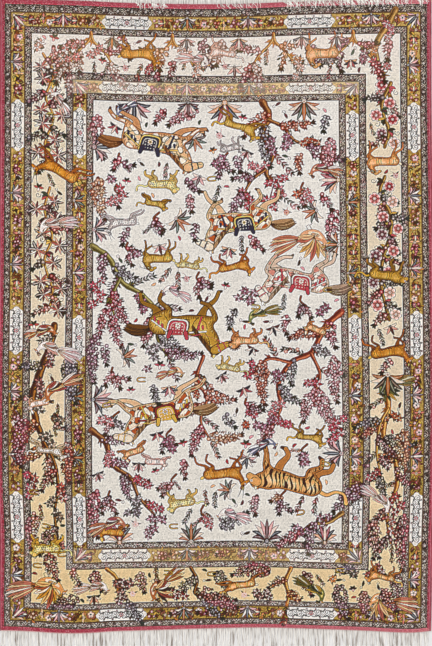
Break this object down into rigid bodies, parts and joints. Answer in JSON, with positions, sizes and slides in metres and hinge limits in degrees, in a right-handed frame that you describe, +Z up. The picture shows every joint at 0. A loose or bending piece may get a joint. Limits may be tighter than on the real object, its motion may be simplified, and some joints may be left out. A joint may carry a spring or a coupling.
{
  "type": "persian rug",
  "caption": "Flat rectangular silk pile rug with a garden and animal design, double inner and outer borders, overcast red sides and warp fringes at both short ends.",
  "frame": {"origin": "centre of the rug's underside, at the middle of its bounding box", "axes": "+Z up from the underside to the pile; Y along the rug's length, +Y towards the end that is at the top of the picture; +X to the picture's right"},
  "size_m": [1.0428, 1.6464, 0.005],
  "materials": {
    "pile": "clipped silk pile, ivory field with a cream main border, gold bands and grey guard stripes",
    "overcast_edge": "red silk wrapped round the edge warps",
    "fringe": "undyed ivory silk warp ends"
  },
  "bodies": {
    "root": {"rug_body": "pile", "edge_cord_left": "overcast_edge", "edge_cord_right": "overcast_edge", "fringe_far": "fringe", "fringe_near": "fringe"}
  },
  "joints": []
}
